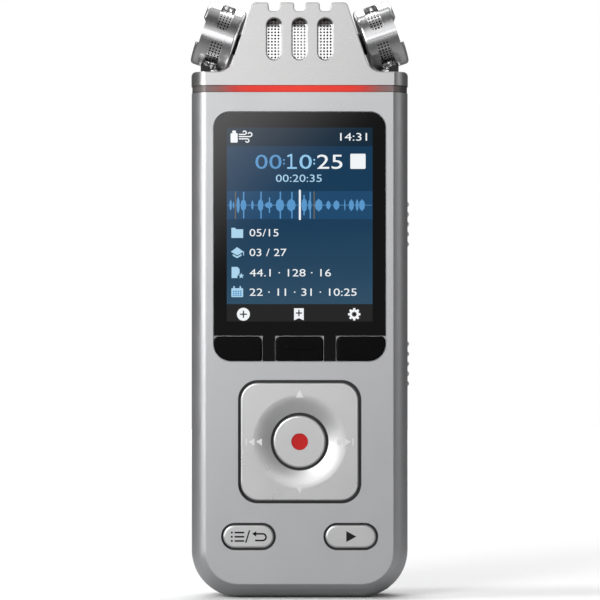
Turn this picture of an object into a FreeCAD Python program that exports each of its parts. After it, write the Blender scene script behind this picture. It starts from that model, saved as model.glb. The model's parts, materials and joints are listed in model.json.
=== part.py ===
import FreeCAD, Part

import math
import os

from FreeCAD import Placement, Rotation, Vector

# Handheld voice recorder, standing upright. Millimetres, +Z up along its length,
# front face towards -Y, origin at the centre of its lowest edge.

# Overall body
HALF_W = 22.55
HALF_T = 9.0
BODY_TOP = 105.0
CORNER_R = 9.8
EDGE_BAND = 3.05
SIDE_FLAT = 3.0
EDGE_BREAK = 0.4
EDGE_R = (EDGE_BAND ** 2 + (HALF_T - SIDE_FLAT) ** 2) / (2 * EDGE_BAND)

# Walls
SIDE_WALL = 1.5
FRONT_IN = -6.8
REAR_IN = 7.5
PARTING = 3.0
TOP_WALL = 1.5

# Light bar and cap
CAP_Z = 106.5
SHOULDER_Z = 109.3
CAGE_TOP = 123.6
TILT = 19.0
CAGE_HALF_TOP = 9.75
CAGE_HALF_BASE = CAGE_HALF_TOP + (CAGE_TOP - SHOULDER_Z) * math.tan(math.radians(TILT))
CAGE_WALL = 1.2
CAGE_FOOT_R = 3.0
CAGE_BEVEL = 0.18
SLOT_BEVEL = 0.25
SLOT_X = (-5.3, 0.0, 5.3)
SLOT_W = 2.96
SLOT_Z = (111.8, 120.3)
NOTCH_HALF = 1.15
NOTCH_Z = 121.8
CENTRE_MIC_Z = 113.9
CENTRE_MIC_R = 4.85

# Microphone drums
DRUM_R = 6.9
DRUM_L = 8.0
DRUM_CENTRE = (17.0, 117.0)
DRUM_WALL = 0.95
DRUM_RIM_R = 0.7
DRUM_HEEL_R = 3.3
DRUM_SLOT_W = 2.9
DRUM_SLOT_MID = 3.7
DRUM_SLOT_FROM = 10.0
DRUM_SLOT_TO = 80.0

# Display window and soft keys
WIN_HALF = 17.8
WIN_Z = (49.3, 100.9)
RECESS_Y = -7.75
FKEY_TOP = 54.4
FKEYS = {"left": (-17.8, -7.8), "middle": (-5.0, 4.9), "right": (7.6, 17.8)}
FKEY_STEM_X = {"left": -12.8, "middle": 0.0, "right": 12.8}
FKEY_STEM_Z = 51.85

# Four-way pad and record button
PAD_Z = 32.6
PAD_OPEN = 12.78
PAD_HALF = 12.2
PAD_CORNER = 3.7
PAD_AXIS_Y = -5.5
DISH_R = 9.9
DISH_CURVE = 16.0
REC_HOLE_R = 6.0
REC_R = 5.42
REC_DOT_R = 1.75

# Pill keys
PILL_X = 10.6
PILL_Z = 12.97
PILL_OPEN = (5.685, 2.84)
PILL_KEY = (5.235, 2.39)

# Board stack
PCB_Y = (-3.3, -2.3)
DOME_Y = -3.7
RUBBER_Y = -4.1
POST_Y = -4.6

# Side controls and sockets
SLIDER_Z = 77.8
ROCKER_Z = 48.6
SLIDER_OPEN = 6.6
ROCKER_OPEN = 5.3
SIDE_KEY_HALF = 4.95
RIDGE_PITCH = 2.07
RIDGE_H = 0.37
RIDGE_FOOT = 0.6
RIDGE_CREST = 0.22
JACK_Y = 0.2
JACK_Z = {"headphone_jack": 92.0, "mic_jack": 82.0}
JACK_BORE_R = 1.8
JACK_NOSE_R = 2.6

# Fasteners
SCREW_AT = [(x, z) for x in (-17.6, 17.6) for z in (16.5, 97.5)]
PCB_SCREW_AT = [(-6.4, 51.9), (6.4, 51.9), (0.0, 10.0)]
CAP_SCREW_X = (-16.5, 16.5)
TRIPOD_Z = 14.0
TRIPOD_R = 2.55
SPEAKER_Z = 88.0


def box(x0, x1, y0, y1, z0, z1):
    """Block between two corners."""
    return Part.makeBox(x1 - x0, y1 - y0, z1 - z0, Vector(x0, y0, z0))


def rod_y(r, y0, y1, x, z):
    """Cylinder along Y."""
    return Part.makeCylinder(r, y1 - y0, Vector(x, y0, z), Vector(0, 1, 0))


def rod_x(r, x0, x1, y, z):
    """Cylinder along X."""
    return Part.makeCylinder(r, x1 - x0, Vector(x0, y, z), Vector(1, 0, 0))


def rod_z(r, z0, z1, x, y):
    """Cylinder along Z."""
    return Part.makeCylinder(r, z1 - z0, Vector(x, y, z0))


def join(first, *rest):
    """One solid from touching or overlapping ones."""
    return first.fuse(list(rest)).removeSplitter()


def trim(first, *rest):
    """A solid less the others."""
    return first.cut(list(rest))


def outline(corners):
    """Closed wire in the XZ plane through corners (x, z, radius)."""
    ends = []
    for i, (x, z, r) in enumerate(corners):
        here = Vector(x, 0, z)
        before = Vector(corners[i - 1][0], 0, corners[i - 1][1]) - here
        ahead = corners[(i + 1) % len(corners)]
        after = Vector(ahead[0], 0, ahead[1]) - here
        before.normalize()
        after.normalize()
        half = before.getAngle(after) / 2
        reach = r / math.tan(half)
        middle = before + after
        middle.normalize()
        tip = here + middle * (r / math.sin(half) - r)
        ends.append((here + before * reach, tip, here + after * reach, r))
    edges = []
    for i, (start, tip, stop, r) in enumerate(ends):
        if r > 0:
            edges.append(Part.Arc(start, tip, stop).toShape())
        ahead = ends[(i + 1) % len(ends)][0]
        if (ahead - stop).Length > 1e-6:
            edges.append(Part.makeLine(stop, ahead))
    return Part.Wire(edges)


def plate(corners, y0, y1):
    """Outline in XZ, thickened from y0 to y1."""
    face = Part.Face(outline(corners))
    face.translate(Vector(0, y0, 0))
    return face.extrude(Vector(0, y1 - y0, 0))


def block(x0, x1, z0, z1, r, y0, y1):
    """Plate with four equal corners."""
    return plate([(x0, z0, r), (x0, z1, r), (x1, z1, r), (x1, z0, r)], y0, y1)


def pill(x, z, half_l, half_h, y0, y1):
    """Plate with full-round ends, long along X."""
    return block(x - half_l, x + half_l, z - half_h, z + half_h, half_h - 1e-4, y0, y1)


def tube_y(r_out, r_in, y0, y1, x, z):
    """Ring along Y."""
    return trim(rod_y(r_out, y0, y1, x, z), rod_y(r_in, y0 - 1, y1 + 1, x, z))


def front_edges(shape, y):
    """Edges that lie wholly in the plane at y."""
    edges = []
    for edge in shape.Edges:
        b = edge.BoundBox
        if abs(b.YMin - y) < 1e-4 and abs(b.YMax - y) < 1e-4:
            edges.append(edge)
    return edges


def soften(shape, y, size):
    """Bevel the rim of the face at y."""
    return shape.makeChamfer(size, front_edges(shape, y))


def rim_points(inset):
    """Half thickness, edge-curve start and outermost reach, measured from the corner's centre."""
    half_t = HALF_T - inset
    centre = CORNER_R - EDGE_R
    start = centre + math.sqrt((EDGE_R - inset) ** 2 - (half_t - SIDE_FLAT) ** 2)
    reach = CORNER_R - inset
    turn = math.atan2(half_t - SIDE_FLAT, start - centre) / 2
    mid = (centre + (EDGE_R - inset) * math.cos(turn), SIDE_FLAT + (EDGE_R - inset) * math.sin(turn))
    return half_t, start, reach, mid


def half_section(inset):
    """Edges of the rim from the front face round to the rear face, in X and Y."""
    half_t, start, reach, mid = rim_points(inset)
    points = [(start, -half_t), (mid[0], -mid[1]), (reach, -SIDE_FLAT)]
    points += [(reach, SIDE_FLAT), mid, (start, half_t)]
    return [Vector(x, y, 0) for x, y in points]


def rim_edges(points):
    """Arc, straight and arc through the six rim points."""
    return [
        Part.Arc(points[0], points[1], points[2]).toShape(),
        Part.makeLine(points[2], points[3]),
        Part.Arc(points[3], points[4], points[5]).toShape(),
    ]


def cross_section(inset, z):
    """Body section in the XY plane at height z."""
    shift = HALF_W - CORNER_R
    right = [p + Vector(shift, 0, z) for p in half_section(inset)]
    left = [Vector(-p.x, p.y, z) for p in reversed(right)]
    edges = rim_edges(right) + [Part.makeLine(right[-1], left[0])]
    edges += rim_edges(left) + [Part.makeLine(left[-1], right[0])]
    return Part.Face(Part.Wire(edges))


def slab(inset, z0, z1):
    """Body section carried from z0 to z1."""
    return cross_section(inset, z0).extrude(Vector(0, 0, z1 - z0))


def body_form(inset, top):
    """Rounded slab body with a curved rim down both sides and round the bottom."""
    shift = HALF_W - CORNER_R
    rim = half_section(inset)
    root = [Vector(0, rim[-1].y, 0), Vector(0, rim[0].y, 0)]
    loop = rim_edges(rim) + [Part.makeLine(rim[-1], root[0])]
    loop += [Part.makeLine(root[0], root[1]), Part.makeLine(root[1], rim[0])]
    half = Part.Face(Part.Wire(loop))
    pieces = [slab(inset, CORNER_R, top)]
    for side in (1, -1):
        quarter = half.copy()
        if side < 0:
            quarter.rotate(Vector(0, 0, 0), Vector(0, 1, 0), 90)
        quarter.translate(Vector(side * shift, 0, CORNER_R))
        pieces.append(quarter.revolve(Vector(side * shift, 0, CORNER_R), Vector(0, 1, 0), 90))
    strip = half.copy()
    strip.rotate(Vector(0, 0, 0), Vector(0, 1, 0), 90)
    strip.translate(Vector(-shift, 0, CORNER_R))
    pieces.append(strip.extrude(Vector(2 * shift, 0, 0)))
    return join(*pieces)


def shell_form():
    """Outer body with its two face edges slightly broken."""
    form = body_form(0, BODY_TOP)
    start = rim_points(0)[1] + HALF_W - CORNER_R
    edges = []
    for edge in front_edges(form, -HALF_T) + front_edges(form, HALF_T):
        b = edge.BoundBox
        beside = max(abs(b.XMin), abs(b.XMax)) > start - 0.1
        if b.ZMin < BODY_TOP - 1 and (b.ZMax < 5 or beside):
            edges.append(edge)
    return form.makeFillet(EDGE_BREAK, edges)


def housing_blank():
    """Both housings as one hollow shell."""
    hollow = body_form(SIDE_WALL, BODY_TOP - TOP_WALL)
    hollow = hollow.common(box(-30, 30, FRONT_IN, REAR_IN, -1, BODY_TOP))
    return trim(shell_form(), hollow)


def front_housing(blank):
    """Front face and side walls with their openings, bosses and pivot lugs."""
    shape = blank.common(box(-30, 30, -10, PARTING, -1, BODY_TOP + 1))
    adds = []
    for x, z in SCREW_AT:
        adds.append(rod_y(2.0, -2.2, PARTING, x, z))
        wall = math.copysign(21.5, x)
        adds.append(box(min(x, wall), max(x, wall), -2.2, PARTING, z - 1.2, z + 1.2))
    for x, z in PCB_SCREW_AT:
        adds.append(rod_y(1.6, FRONT_IN, PCB_Y[0], x, z))
    for x in (-16.0, 16.0):
        adds.append(box(x - 0.55, x + 0.55, FRONT_IN, -4.8, PAD_Z - 1.3, PAD_Z + 1.3))
    for y in (-2.35, 2.35):
        adds.append(box(19.3, 21.3, y - 0.6, y + 0.6, ROCKER_Z - 1.3, ROCKER_Z + 1.3))
    shape = join(shape, *adds)
    recess = [(-17.95, 49.15, 3.75), (-17.95, 101.05, 3.45)]
    recess += [(17.95, 101.05, 3.45), (17.95, 49.15, 3.75)]
    cuts = [plate(recess, -10, RECESS_Y)]
    cuts.append(block(-15.9, 15.9, 56.6, 98.4, 1.0, -8, -6))
    for x in FKEY_STEM_X.values():
        cuts.append(block(x - 2.2, x + 2.2, FKEY_STEM_Z - 1.1, FKEY_STEM_Z + 1.1, 0.4, -8, -6))
    cuts.append(block(-PAD_OPEN, PAD_OPEN, PAD_Z - PAD_OPEN, PAD_Z + PAD_OPEN, 4.1, -10, -6))
    for x in (-PILL_X, PILL_X):
        cuts.append(pill(x, PILL_Z, PILL_OPEN[0], PILL_OPEN[1], -10, -6))
    cuts.append(box(20, 24, -1.7, 1.7, SLIDER_Z - SLIDER_OPEN, SLIDER_Z + SLIDER_OPEN))
    cuts.append(box(21.0, 24, -1.7, 1.7, ROCKER_Z - ROCKER_OPEN, ROCKER_Z + ROCKER_OPEN))
    for z in JACK_Z.values():
        cuts.append(rod_x(JACK_NOSE_R + 0.1, -24, -20.5, JACK_Y, z))
    cuts.append(box(-4.3, 4.3, -2.8, 0.8, -1, 2))
    cuts.append(box(-9, 9, -2.5, 2.5, BODY_TOP - 2, BODY_TOP + 1))
    for x in CAP_SCREW_X:
        cuts.append(rod_z(0.9, BODY_TOP - 2, BODY_TOP + 1, x, 0))
    for x, z in SCREW_AT:
        cuts.append(rod_y(0.8, -1.2, PARTING + 1, x, z))
    for x, z in PCB_SCREW_AT:
        cuts.append(rod_y(0.6, -5.8, PCB_Y[1], x, z))
    cuts.append(rod_x(0.55, -17, 17, PAD_AXIS_Y, PAD_Z))
    cuts.append(rod_y(0.7, -4, 4, 20.3, ROCKER_Z))
    return trim(shape, *cuts)


def rear_housing(blank):
    """Rear cover with a locating lip, screw bosses, speaker holes and tripod boss."""
    shape = blank.common(box(-30, 30, PARTING, 10, -1, BODY_TOP + 1))
    bore = body_form(2.4, BODY_TOP - 2.4)
    root = trim(body_form(1.0, BODY_TOP - 1.0), bore).common(box(-30, 30, PARTING, 4.0, -1, BODY_TOP))
    lip = trim(body_form(1.6, BODY_TOP - 1.6), bore).common(box(-30, 30, 1.8, PARTING, -1, BODY_TOP))
    gaps = [box(18, 23, 0, PARTING, 41, 56), box(18, 23, 0, PARTING, 69, 87)]
    gaps.append(box(-23, -18, 0, PARTING, 78, 96))
    gaps.append(box(-6, 6, 0, PARTING, 0, 5))
    gaps.append(box(-19, 19, 0, PARTING, 100, 104))
    for x, z in SCREW_AT:
        wall = math.copysign(22, x)
        gaps.append(box(min(wall, 0.85 * x), max(wall, 0.85 * x), 0, PARTING, z - 2.3, z + 2.3))
    adds = [root, trim(lip, *gaps), rod_y(5.8, 2.6, 8.0, 0, TRIPOD_Z)]
    for x, z in SCREW_AT:
        adds.append(rod_y(2.2, PARTING, 8.0, x, z))
    shape = join(shape, *adds)
    cuts = [rod_y(4.2, 2.0, 9.5, 0, TRIPOD_Z)]
    for x, z in SCREW_AT:
        cuts.append(rod_y(0.95, 2, 10, x, z))
        cuts.append(rod_y(1.5, 7.4, 10, x, z))
    for row in range(-2, 3):
        for column in range(-3, 4):
            if abs(row) + abs(column) < 5:
                cuts.append(rod_y(0.55, 7, 10, 1.9 * column, SPEAKER_Z + 1.9 * row))
    return trim(shape, *cuts)


def housing_screws():
    """Four pan-head screws with cross recesses, driven in from the rear."""
    screws = []
    for x, z in SCREW_AT:
        screw = join(rod_y(0.8, 0.2, 7.6, x, z), rod_y(1.4, 7.4, 8.5, x, z))
        cross = [box(x - 0.9, x + 0.9, 8.0, 9, z - 0.17, z + 0.17)]
        cross.append(box(x - 0.17, x + 0.17, 8.0, 9, z - 0.9, z + 0.9))
        screws.append(trim(screw, *cross))
    return Part.makeCompound(screws)


def pcb_screws():
    """Three small screws that hold the board to the front housing."""
    screws = []
    for x, z in PCB_SCREW_AT:
        screw = join(rod_y(0.6, -5.6, PCB_Y[1] + 0.1, x, z), rod_y(1.3, PCB_Y[1], PCB_Y[1] + 0.7, x, z))
        screws.append(trim(screw, box(x - 0.9, x + 0.9, PCB_Y[1] + 0.4, 0, z - 0.15, z + 0.15)))
    return Part.makeCompound(screws)


def cap_screws():
    """Two screws that hold the cap from inside the housing."""
    screws = []
    for x in CAP_SCREW_X:
        screw = join(rod_z(0.7, 103.4, 108.2, x, 0), rod_z(1.4, 102.5, 103.5, x, 0))
        screws.append(trim(screw, box(x - 0.9, x + 0.9, -0.15, 0.15, 102, 102.9)))
    return Part.makeCompound(screws)


def light_bar():
    """Light guide ring between housing and cap."""
    return trim(slab(0.12, BODY_TOP, CAP_Z), slab(2.6, BODY_TOP - 1, CAP_Z + 1))


def led_board():
    """Narrow board behind the light bar."""
    return block(-13, 13, BODY_TOP, CAP_Z - 0.3, 0.3, -5.9, -5.1)


def indicator_leds():
    """Five red lamps on the front of the narrow board."""
    lamps = [box(4 * i - 0.8, 4 * i + 0.8, -6.35, -5.9, 105.3, 106.0) for i in range(-2, 3)]
    return Part.makeCompound(lamps)


def cage_outline(half_collar):
    """Silhouette of cap, shoulders, sloped cage and top notches."""
    corners = [(-half_collar, CAP_Z, 0), (-half_collar, SHOULDER_Z, 0.9)]
    corners += [(-CAGE_HALF_BASE, SHOULDER_Z, CAGE_FOOT_R), (-CAGE_HALF_TOP, CAGE_TOP, 0.9)]
    for x in SLOT_X:
        corners.append((x - NOTCH_HALF, CAGE_TOP, 0.5))
        corners.append((x - NOTCH_HALF, NOTCH_Z, 0.7))
        corners.append((x + NOTCH_HALF, NOTCH_Z, 0.7))
        corners.append((x + NOTCH_HALF, CAGE_TOP, 0.5))
    corners += [(CAGE_HALF_TOP, CAGE_TOP, 0.9), (CAGE_HALF_BASE, SHOULDER_Z, CAGE_FOOT_R)]
    corners += [(half_collar, SHOULDER_Z, 0.9), (half_collar, CAP_Z, 0)]
    return corners


def top_cap():
    """Collar and microphone cage, hollow and open below."""
    shape = plate(cage_outline(HALF_W + 0.05), -HALF_T, HALF_T).common(slab(-0.05, CAP_Z, CAGE_TOP + 1))
    shape = shape.common(box(-30, 30, -HALF_T, HALF_T, CAP_Z, 130))
    bright = []
    for edge in front_edges(shape, -HALF_T) + front_edges(shape, HALF_T):
        if edge.BoundBox.ZMin > SHOULDER_Z - 0.01:
            bright.append(edge)
    shape = shape.makeChamfer(CAGE_BEVEL, bright)
    lean = math.tan(math.radians(TILT))
    inner = CAGE_HALF_TOP - CAGE_WALL / math.cos(math.radians(TILT))
    low, high = CAP_Z - 1, 120.6
    half_low = inner + (CAGE_TOP - low) * lean
    half_high = inner + (CAGE_TOP - high) * lean
    walls = [(-half_low, low, 0), (-half_high, high, 0.6), (half_high, high, 0.6), (half_low, low, 0)]
    hollow = plate(walls, -7.8, 7.8)
    shape = trim(shape, hollow, slab(SIDE_WALL, CAP_Z - 1, SHOULDER_Z - 1.2))
    shape = join(shape, *[rod_z(2.0, BODY_TOP, SHOULDER_Z - 0.6, x, 0) for x in CAP_SCREW_X])
    half = SLOT_W / 2
    for x in SLOT_X:
        slot = block(x - half, x + half, SLOT_Z[0], SLOT_Z[1], half - 1e-3, -12, 12)
        shape = trim(shape, slot)
    rims = []
    for edge in front_edges(shape, -HALF_T) + front_edges(shape, HALF_T):
        b = edge.BoundBox
        if b.ZMin > SLOT_Z[0] - 0.1 and b.ZMax < SLOT_Z[1] + 0.1 and abs(b.Center.x) < 7:
            rims.append(edge)
    shape = shape.makeChamfer(SLOT_BEVEL, rims)
    cuts = [rod_z(0.7, BODY_TOP - 1, 108.2, x, 0) for x in CAP_SCREW_X]
    cuts += [on_drum(Part.makeCylinder(2.4, 6, Vector(0, 0, -5.5)), side) for side in (-1, 1)]
    return trim(shape, *cuts)


def on_drum(shape, side):
    """Carry a piece from the drum's own axis (inner end at 0, outwards +Z) to its place."""
    shape = shape.copy()
    shape.translate(Vector(0, 0, -DRUM_L / 2))
    place = Placement(Vector(DRUM_CENTRE[0], 0, DRUM_CENTRE[1]), Rotation(Vector(0, 1, 0), 90 - TILT))
    shape.transformShape(place.toMatrix())
    if side < 0:
        shape = shape.mirror(Vector(0, 0, 0), Vector(1, 0, 0))
    return shape


def rounded_drum():
    """Outside of a microphone drum, rounded off where its inner end passes over the shoulder."""
    drum = Part.makeCylinder(DRUM_R, DRUM_L)
    rims = [e for e in drum.Edges if e.BoundBox.ZLength < 1e-3]
    drum = drum.makeFillet(DRUM_RIM_R, rims)
    heel = DRUM_R + 0.3
    return drum.common(plate([(heel, 0, DRUM_HEEL_R), (heel, 9, 0), (-9, 9, 0), (-9, 0, 0)], -8, 8))


def drum_slot(turn):
    """Cutter for one full-round slot in the drum's wall, starting at an angle in degrees."""
    half = DRUM_SLOT_W / 2
    lead = math.degrees(math.asin(half / DRUM_R))
    first = turn + DRUM_SLOT_FROM + lead
    last = turn + DRUM_SLOT_TO - lead
    sweep = Part.makeCylinder(DRUM_R + 1, DRUM_SLOT_W, Vector(0, 0, DRUM_SLOT_MID - half), Vector(0, 0, 1),
                              last - first)
    sweep.rotate(Vector(0, 0, 0), Vector(0, 0, 1), first)
    pieces = [sweep]
    for angle in (first, last):
        way = Vector(math.cos(math.radians(angle)), math.sin(math.radians(angle)), 0)
        pieces.append(Part.makeCylinder(half, DRUM_R + 1, Vector(0, 0, DRUM_SLOT_MID), way))
    return join(*pieces)


def mic_drum(side):
    """Hollow chrome drum with four slots, lands at front, back, top and bottom."""
    drum = rounded_drum()
    inside = DRUM_R - DRUM_WALL
    cuts = [Part.makeCylinder(inside, DRUM_L - 2.6, Vector(0, 0, 1.0))]
    cuts += [drum_slot(90 * i) for i in range(4)]
    cuts.append(box(-2.68, 2.68, -10, 10, DRUM_L - 0.7, DRUM_L + 1))
    cuts.append(Part.makeCylinder(2.4, 3, Vector(0, 0, -1)))
    return on_drum(trim(drum, *cuts), side)


def mic_mesh(side):
    """Thin metal sleeve behind the drum's slots."""
    out = DRUM_R - DRUM_WALL - 0.05
    sleeve = Part.makeCylinder(out, DRUM_L - 2.7, Vector(0, 0, 1.05))
    return on_drum(trim(sleeve, Part.makeCylinder(out - 0.25, DRUM_L, Vector(0, 0, 0))), side)


def mic_mount(side):
    """Hollow neck from the cage wall into the drum, with a flange inside the drum."""
    neck = Part.makeCylinder(2.4, 3.3, Vector(0, 0, -2.3))
    neck = join(neck, Part.makeCylinder(3.3, 0.5, Vector(0, 0, 1.0)))
    return on_drum(trim(neck, Part.makeCylinder(1.2, 6, Vector(0, 0, -3))), side)


def mic_boot(side):
    """Rubber cup round a side capsule."""
    cup = Part.makeCylinder(4.9, 4.6, Vector(0, 0, 1.6))
    return on_drum(trim(cup, Part.makeCylinder(4.0, 6, Vector(0, 0, 2.2))), side)


def mic_capsule(side):
    """Side microphone capsule."""
    can = Part.makeCylinder(4.0, 3.9, Vector(0, 0, 2.2))
    return on_drum(trim(can, Part.makeCylinder(1.0, 2, Vector(0, 0, 5.7))), side)


def mic_foot(side):
    """Rubber foot between the drum's lowest part and the shoulder."""
    foot = box(18.7, 20.7, -2.2, 2.2, SHOULDER_Z, SHOULDER_Z + 2.5)
    if side < 0:
        foot = foot.mirror(Vector(0, 0, 0), Vector(1, 0, 0))
    return trim(foot, on_drum(rounded_drum(), side))


def mic_mesh_center():
    """Thin metal sheet bent over inside the cage, behind its slots."""
    def fold(half_y, top, r):
        corners = [(-half_y, 110.0, 0), (-half_y, top, r), (half_y, top, r), (half_y, 110.0, 0)]
        sheet = plate(corners, -8.8, 8.8)
        sheet.rotate(Vector(0, 0, 0), Vector(0, 0, 1), 90)
        return sheet
    inner = fold(7.4, 120.2, 1.9)
    drop = inner.copy()
    drop.translate(Vector(0, 0, -1))
    return trim(fold(7.7, 120.5, 2.2), join(inner, drop))


def mic_boot_center():
    """Rubber carrier that fills the middle of the cage and holds the centre capsule."""
    carrier = block(-8.3, 8.3, 107.7, 119.5, 2.0, -3.5, 3.5)
    return trim(carrier, rod_y(CENTRE_MIC_R, -4, 4, 0, CENTRE_MIC_Z))


def mic_capsule_center():
    """Centre microphone capsule."""
    can = rod_y(CENTRE_MIC_R, -3.0, 2.5, 0, CENTRE_MIC_Z)
    return trim(can, rod_y(1.2, -4, -2.4, 0, CENTRE_MIC_Z))


def mic_flex():
    """Ribbon from the centre capsule's carrier down to the board."""
    return box(-5, 5, PCB_Y[1], PCB_Y[1] + 0.15, 96, 107.6)


def display_window():
    """Black window with three notches for the soft keys."""
    low, top = WIN_Z
    notch = FKEY_TOP + 0.15
    gap = 0.12
    corners = [(-WIN_HALF, notch, 0), (-WIN_HALF, top, 3.3), (WIN_HALF, top, 3.3), (WIN_HALF, notch, 0)]
    for left, right in (("middle", "right"), ("left", "middle")):
        x0, x1 = FKEYS[left][1] + gap, FKEYS[right][0] - gap
        corners += [(x1, notch, 0), (x1, low, 0), (x0, low, 0), (x0, notch, 0)]
    return plate(corners, -HALF_T, RECESS_Y)


def display_gasket():
    """Foam frame between the front wall and the display."""
    frame = block(-17.2, 17.2, 54.9, 99.8, 1.2, FRONT_IN, -6.3)
    return trim(frame, block(-15.9, 15.9, 56.6, 98.4, 0.8, -8, -5))


def lcd_panel():
    """Display glass."""
    return block(-16.9, 16.9, 54.6, 99.6, 0.5, -6.3, -4.9)


def lcd_backlight():
    """Light tray that holds the display glass."""
    tray = block(-17.3, 17.3, 54.3, 99.9, 0.8, -5.6, -3.4)
    return trim(tray, block(-16.9, 16.9, 54.6, 99.6, 0.5, -7, -4.9))


def lcd_flex():
    """Ribbon folded from the display's lower edge to the board."""
    corners = [(-4.9, 53.9), (-4.9, 54.3), (-5.0, 54.3), (-5.0, 53.8), (PCB_Y[0], 53.8), (PCB_Y[0], 58.0),
               (PCB_Y[0] - 0.1, 58.0), (PCB_Y[0] - 0.1, 53.9)]
    points = [Vector(-8, y, z) for y, z in corners]
    return Part.Face(Part.makePolygon(points + points[:1])).extrude(Vector(16, 0, 0))


def fkey(name):
    """Raised soft key with a stem through the front wall."""
    x0, x1 = FKEYS[name]
    low = WIN_Z[0]
    outer = {"left": (3.6, 0.4), "middle": (0.4, 0.4), "right": (0.4, 3.6)}[name]
    corners = [(x0, low, outer[0]), (x0, FKEY_TOP, 1.0), (x1, FKEY_TOP, 1.0), (x1, low, outer[1])]
    cap = soften(plate(corners, -9.25, -8.1), -9.25, 0.3)
    stem_x = FKEY_STEM_X[name]
    parts = [block(stem_x - 1.9, stem_x + 1.9, FKEY_STEM_Z - 0.8, FKEY_STEM_Z + 0.8, 0.3, -8.2, -5.0)]
    if name == "middle":
        parts.append(soften(pill(0, 52.1, 2.9, 0.45, -9.4, -9.0), -9.4, 0.1))
    return join(cap, *parts)


def dish_cutter():
    """Hollow round the record button that steepens towards its centre."""
    front, rise = -9.1, 0.002
    centre = front + DISH_CURVE - rise
    points = []
    for r in (DISH_R - math.sqrt(2 * DISH_CURVE * rise), 7.5, 5.0):
        points.append(Vector(r, centre - math.sqrt(DISH_CURVE ** 2 - (DISH_R - r) ** 2), 0))
    top = [Vector(5.0, front - 1, 0), Vector(points[0].x, front - 1, 0)]
    edges = [Part.Arc(*points).toShape(), Part.makeLine(points[2], top[0])]
    edges += [Part.makeLine(top[0], top[1]), Part.makeLine(top[1], points[0])]
    cutter = Part.Face(Part.Wire(edges)).revolve(Vector(0, 0, 0), Vector(0, 1, 0), 360)
    cutter.translate(Vector(0, 0, PAD_Z))
    return cutter


def nav_pad():
    """Square four-way pad with a hollow round the record button's hole."""
    pad = block(-PAD_HALF, PAD_HALF, PAD_Z - PAD_HALF, PAD_Z + PAD_HALF, PAD_CORNER, -9.1, -6.75)
    pad = pad.makeFillet(0.3, front_edges(pad, -9.1))
    skirt = block(-PAD_HALF, PAD_HALF, PAD_Z - PAD_HALF, PAD_Z + PAD_HALF, PAD_CORNER, -6.8, -6.0)
    flange = block(-13.3, 13.3, PAD_Z - 13.3, PAD_Z + 13.3, 4.4, -6.05, -4.95)
    window = block(-10.8, 10.8, PAD_Z - 10.8, PAD_Z + 10.8, 2.6, -6.75, -4)
    pins = [rod_z(0.4, PAD_Z + low, PAD_Z + low + 1.6, 0, PAD_AXIS_Y) for low in (-14.6, 13.0)]
    nubs = [rod_y(0.9, -6.9, -5.1, x, PAD_Z + z) for x, z in ((8.5, 0), (-8.5, 0), (0, 8.5), (0, -8.5))]
    frame = trim(join(skirt, flange), window)
    pad = join(pad, frame, *(pins + nubs))
    return trim(pad, dish_cutter(), rod_y(REC_HOLE_R, -12, -4, 0, PAD_Z))


def nav_gimbal():
    """Square ring that lets the pad rock both ways."""
    ring = block(-15, 15, PAD_Z - 15, PAD_Z + 15, 4.6, -6.15, -4.85)
    ring = trim(ring, block(-13.7, 13.7, PAD_Z - 13.7, PAD_Z + 13.7, 4.6, -7, -4))
    ring = join(ring, *[rod_x(0.45, x, x + 1.8, PAD_AXIS_Y, PAD_Z) for x in (-16.4, 14.6)])
    return trim(ring, rod_z(0.5, PAD_Z - 16, PAD_Z + 16, 0, PAD_AXIS_Y))


def rec_button():
    """Round record button with a seat for its light guide."""
    cap = rod_y(REC_R, -9.0, -6.0, 0, PAD_Z)
    cap = cap.makeFillet(0.35, front_edges(cap, -9.0))
    shape = join(cap, rod_y(6.5, -6.1, -5.5, 0, PAD_Z), rod_y(1.2, -5.6, -5.1, 0, PAD_Z))
    return trim(shape, rod_y(REC_DOT_R, -10, -7.5, 0, PAD_Z))


def rec_dot():
    """Red light guide in the record button."""
    dot = rod_y(REC_DOT_R, -8.85, -7.5, 0, PAD_Z)
    return dot.makeFillet(0.15, front_edges(dot, -8.85))


def pill_key(x):
    """Pill-shaped key with a retaining flange and a stem."""
    cap = pill(x, PILL_Z, PILL_KEY[0], PILL_KEY[1], -9.15, -6.6)
    cap = cap.makeFillet(0.4, front_edges(cap, -9.15))
    flange = pill(x, PILL_Z, PILL_OPEN[0] + 0.5, PILL_OPEN[1] + 0.5, -6.75, -6.15)
    return join(cap, flange, rod_y(1.1, -6.2, -5.1, x, PILL_Z))


def switch_places():
    """Where each key meets the board."""
    places = [(0, PAD_Z), (8.5, PAD_Z), (-8.5, PAD_Z), (0, PAD_Z + 8.5), (0, PAD_Z - 8.5)]
    places += [(-PILL_X, PILL_Z), (PILL_X, PILL_Z)]
    return places + [(x, FKEY_STEM_Z) for x in FKEY_STEM_X.values()]


def keypad_rubber():
    """Silicone sheet with a short post under each key."""
    sheet = block(-16, 16, 8.5, 53.3, 5.0, RUBBER_Y, DOME_Y)
    posts = [rod_y(1.0, POST_Y, RUBBER_Y + 0.1, x, z) for x, z in switch_places()]
    return trim(join(sheet, *posts), *[rod_y(1.9, -5, -3, x, z) for x, z in PCB_SCREW_AT])


def dome_switches():
    """Metal domes on the board, one under each post."""
    domes = []
    for x, z in switch_places():
        dome = rod_y(2.0, DOME_Y, PCB_Y[0], x, z)
        domes.append(dome.makeFillet(0.25, front_edges(dome, DOME_Y)))
    return Part.makeCompound(domes)


def main_pcb():
    """Main board with its screw holes."""
    board = plate([(-16.8, 5.0, 6.0), (-16.8, 102.0, 1.5), (16.8, 102.0, 1.5), (16.8, 5.0, 6.0)], *PCB_Y)
    return trim(board, *[rod_y(0.75, -5, 0, x, z) for x, z in PCB_SCREW_AT])


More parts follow.
